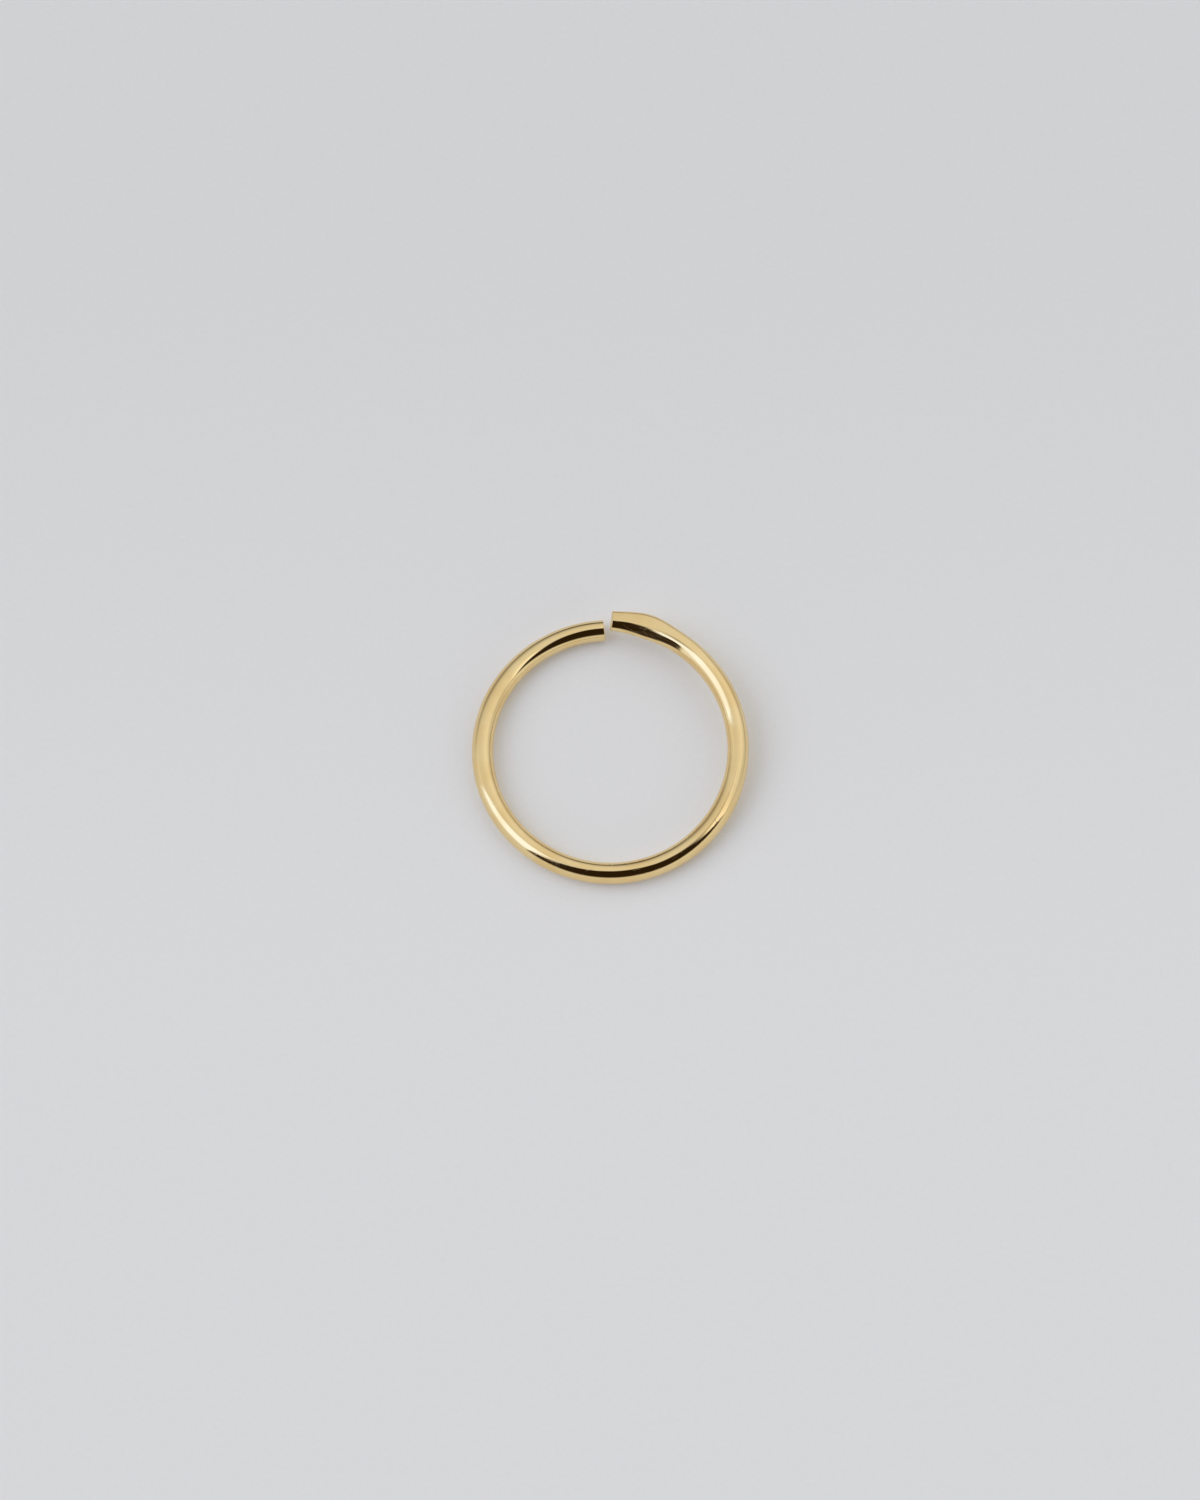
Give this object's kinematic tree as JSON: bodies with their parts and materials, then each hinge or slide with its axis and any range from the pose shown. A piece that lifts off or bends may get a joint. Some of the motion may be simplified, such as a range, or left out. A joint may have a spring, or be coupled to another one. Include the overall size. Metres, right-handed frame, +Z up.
{
  "type": "hoop earring",
  "caption": "Open hoop earring: one length of polished round gold wire bent into a ring, with a narrow gap and one raised end, lying on its side.",
  "frame": {"origin": "centre of the hoop's circle, on the surface that the hoop lies on", "axes": "+Z up from that surface, +Y from the centre towards the gap, +X towards the side whose end springs up"},
  "size_m": [0.0128, 0.013, 0.0017],
  "materials": {
    "gold": "polished"
  },
  "bodies": {
    "root": {"hoop_wire": "gold"}
  },
  "joints": []
}
